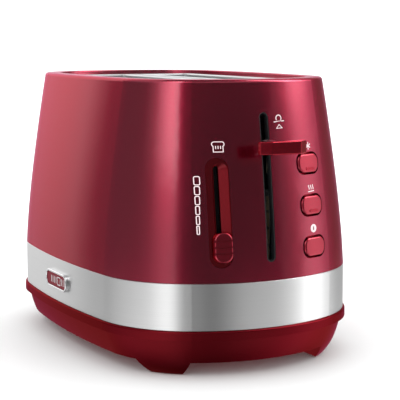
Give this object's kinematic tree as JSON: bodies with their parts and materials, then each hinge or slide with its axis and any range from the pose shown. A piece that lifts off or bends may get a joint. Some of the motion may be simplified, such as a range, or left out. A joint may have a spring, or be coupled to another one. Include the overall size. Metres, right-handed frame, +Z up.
{
  "type": "pop-up toaster",
  "caption": "Bulged red toaster with a brushed steel band, recessed top deck with bread slots, and a lever, browning slider and push buttons on one end.",
  "frame": {"origin": "on the worktop, under the middle of the toaster's overall length and width", "axes": "+X towards the end with the lever and buttons, +Y across to the far long side (the badge is on the -Y side), +Z up"},
  "size_m": [0.302, 0.189, 0.19],
  "materials": {
    "shell_red": "satin metallic red lacquer",
    "band_steel": "brushed along the band",
    "base_red": "satin metallic red",
    "deck_silver": "satin",
    "foot_rubber": "matt",
    "badge_silver": "bright",
    "badge_red": "plain field with no lettering",
    "lever_red": "satin metallic red",
    "control_red": "gloss red",
    "lens_smoke": "dark tinted indicator window",
    "carriage_steel": "zinc plated",
    "black_plastic": "fine grain",
    "track_red": "satin dark red",
    "board_green": "printed circuit board",
    "chassis_sheet": "galvanised sheet",
    "screw_steel": "zinc plated",
    "contact_brass": "bright",
    "winding_copper": "enamelled copper wire",
    "mica": "mica board",
    "ribbon_metal": "oxidised nichrome ribbon",
    "guide_wire": "plated wire"
  },
  "bodies": {
    "toaster": {"badge_frame": "badge_silver", "badge_plate": "badge_red", "base_moulding": "base_red", "board_components": "black_plastic", "browning_board": "board_green", "browning_pot": "black_plastic", "browning_track": "track_red", "button_switches": "black_plastic", "chassis_screws": "screw_steel", "control_board": "board_green", "cord_gland": "black_plastic", "far_reflector": "chassis_sheet", "far_slot_collar": "deck_silver", "foot_pads": "foot_rubber", "front_plate": "chassis_sheet", "guide_rod": "carriage_steel", "heater_ribbon_far_inner": "ribbon_metal", "heater_ribbon_far_outer": "ribbon_metal", "heater_ribbon_near_inner": "ribbon_metal", "heater_ribbon_near_outer": "ribbon_metal", "lever_slot_liner": "black_plastic", "magnet_bobbin": "black_plastic", "magnet_winding": "winding_copper", "magnet_yoke": "carriage_steel", "mains_contacts": "contact_brass", "mains_switch": "black_plastic", "mica_card_far_inner": "mica", "mica_card_far_outer": "mica", "mica_card_near_inner": "mica", "mica_card_near_outer": "mica", "near_reflector": "chassis_sheet", "near_slot_collar": "deck_silver", "outer_shell": "shell_red", "power_board": "board_green", "rear_plate": "chassis_sheet", "return_spring": "carriage_steel", "shell_screws": "screw_steel", "terminal_block": "black_plastic", "top_deck": "deck_silver", "trim_band": "band_steel"},
    "carriage": {"lever_knob": "lever_red", "lever_arm": "carriage_steel", "carriage_bracket": "carriage_steel", "carriage_slider": "black_plastic", "near_bread_rack": "carriage_steel", "far_bread_rack": "carriage_steel", "armature_plate": "carriage_steel"},
    "browning_slider": {"browning_knob": "control_red"},
    "defrost_key": {"defrost_button": "control_red", "defrost_lens": "lens_smoke"},
    "reheat_key": {"reheat_button": "control_red", "reheat_lens": "lens_smoke"},
    "cancel_key": {"cancel_button": "control_red"},
    "crumb_drawer": {"crumb_tray": "chassis_sheet", "crumb_tray_handle": "base_red"},
    "guide_near_outer": {"bread_guide_near_outer": "guide_wire"},
    "guide_near_inner": {"bread_guide_near_inner": "guide_wire"},
    "guide_far_inner": {"bread_guide_far_inner": "guide_wire"},
    "guide_far_outer": {"bread_guide_far_outer": "guide_wire"}
  },
  "joints": [
    {"name": "lever_slide", "type": "slide", "parent": "toaster", "child": "carriage", "axis": [0, 0, 1], "range_m": [-0.069, 0.0155], "stiffness_N_per_m": 120, "springref_m": 0.0075, "deforming": ["return_spring"]},
    {"name": "browning_slide", "type": "slide", "parent": "toaster", "child": "browning_slider", "axis": [-0.1239, 0, 0.9923], "range_m": [0, 0.0455]},
    {"name": "defrost_press", "type": "slide", "parent": "toaster", "child": "defrost_key", "axis": [-0.9472, -0.3206, 0], "range_m": [0, 0.0022], "stiffness_N_per_m": 600},
    {"name": "reheat_press", "type": "slide", "parent": "toaster", "child": "reheat_key", "axis": [-0.9472, -0.3206, 0], "range_m": [0, 0.0022], "stiffness_N_per_m": 600},
    {"name": "cancel_press", "type": "slide", "parent": "toaster", "child": "cancel_key", "axis": [-0.9472, -0.3206, 0], "range_m": [0, 0.0022], "stiffness_N_per_m": 600},
    {"name": "crumb_tray_slide", "type": "slide", "parent": "toaster", "child": "crumb_drawer", "axis": [-1, 0, 0], "range_m": [0, 0.21]},
    {"name": "guide_near_outer_slide", "type": "slide", "parent": "toaster", "child": "guide_near_outer", "axis": [0, 1, 0], "range_m": [-0.00119, 0.0052]},
    {"name": "guide_near_inner_slide", "type": "slide", "parent": "toaster", "child": "guide_near_inner", "axis": [0, 1, 0], "range_m": [-0.0052, 0.00119]},
    {"name": "guide_far_inner_slide", "type": "slide", "parent": "toaster", "child": "guide_far_inner", "axis": [0, 1, 0], "range_m": [-0.00119, 0.0052]},
    {"name": "guide_far_outer_slide", "type": "slide", "parent": "toaster", "child": "guide_far_outer", "axis": [0, 1, 0], "range_m": [-0.0052, 0.00119]}
  ],
  "couplings": [
    {"joint": "guide_near_outer_slide", "follows": "lever_slide", "ratio": -0.075},
    {"joint": "guide_near_inner_slide", "follows": "lever_slide", "ratio": 0.075},
    {"joint": "guide_far_inner_slide", "follows": "lever_slide", "ratio": -0.075},
    {"joint": "guide_far_outer_slide", "follows": "lever_slide", "ratio": 0.075}
  ]
}
